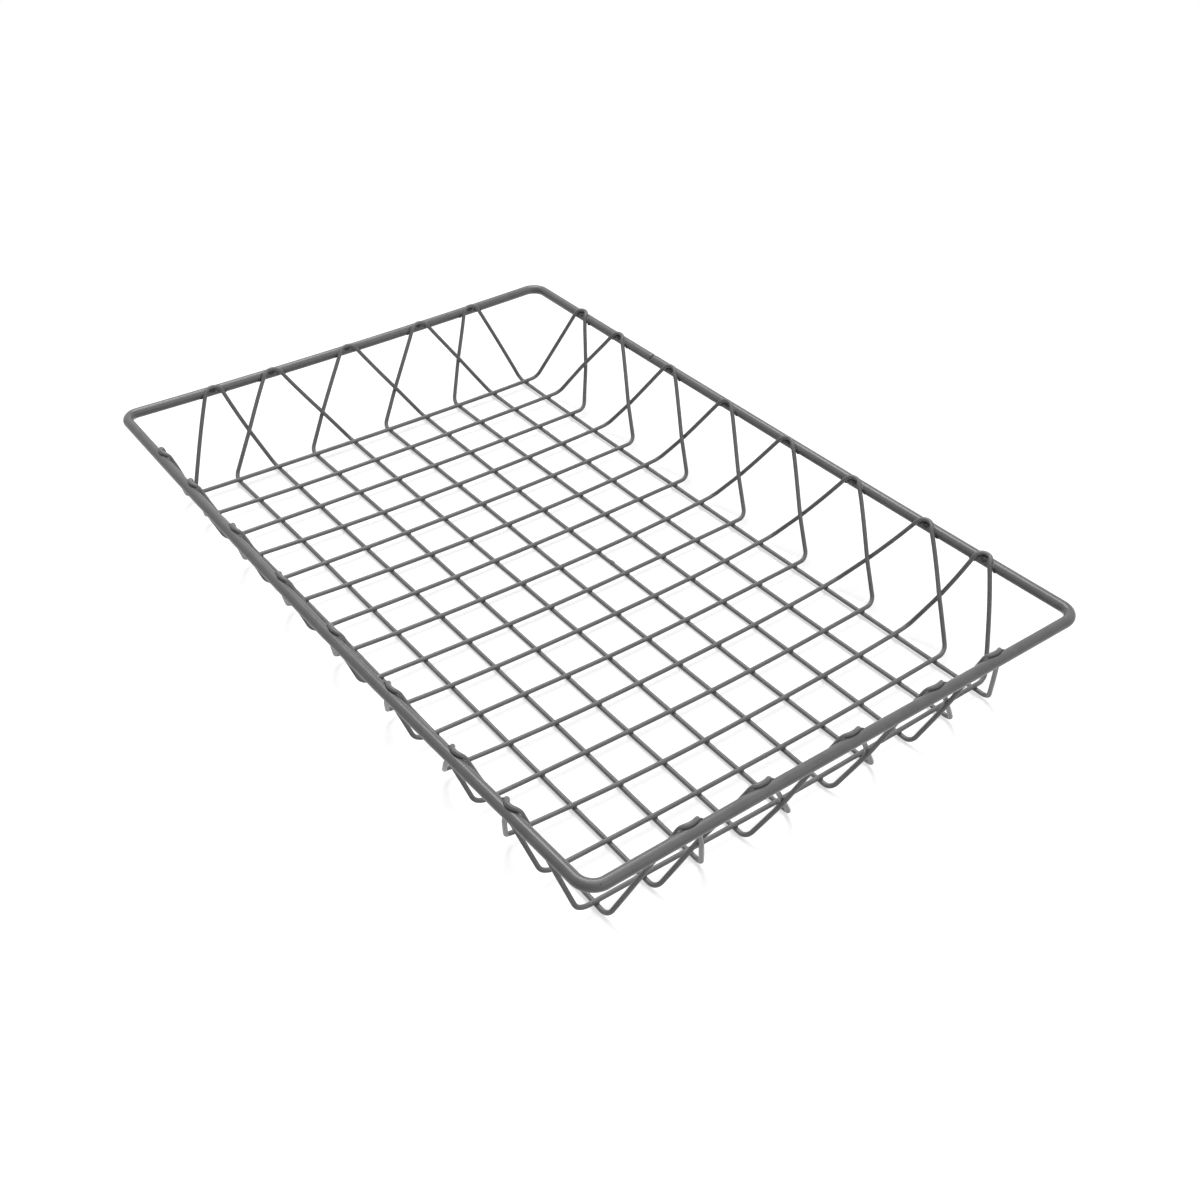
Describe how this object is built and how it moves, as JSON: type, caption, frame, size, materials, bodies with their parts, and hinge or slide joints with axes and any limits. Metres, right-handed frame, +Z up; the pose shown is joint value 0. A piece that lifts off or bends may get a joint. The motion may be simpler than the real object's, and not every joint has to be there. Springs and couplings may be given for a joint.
{
  "type": "wire pastry basket",
  "caption": "Shallow rectangular open basket of welded wire: a heavy closed rim, flared sides of crossing hairpin legs and a flat open mesh floor.",
  "frame": {"origin": "on the surface that the basket stands on, under the middle of its outline", "axes": "+Z up, +X along the basket's length, +Y across it"},
  "size_m": [0.4572, 0.2986, 0.0592],
  "materials": {
    "rim_metal": "satin grey",
    "mesh_metal": "satin grey"
  },
  "bodies": {
    "root": {"rim_ring": "rim_metal", "lengthwise_loop_1": "mesh_metal", "lengthwise_loop_2": "mesh_metal", "lengthwise_loop_3": "mesh_metal", "lengthwise_loop_4": "mesh_metal", "lengthwise_loop_5": "mesh_metal", "crosswise_loop_1": "mesh_metal", "crosswise_loop_2": "mesh_metal", "crosswise_loop_3": "mesh_metal", "crosswise_loop_4": "mesh_metal", "crosswise_loop_5": "mesh_metal", "crosswise_loop_6": "mesh_metal", "crosswise_loop_7": "mesh_metal", "crosswise_loop_8": "mesh_metal"}
  },
  "joints": []
}
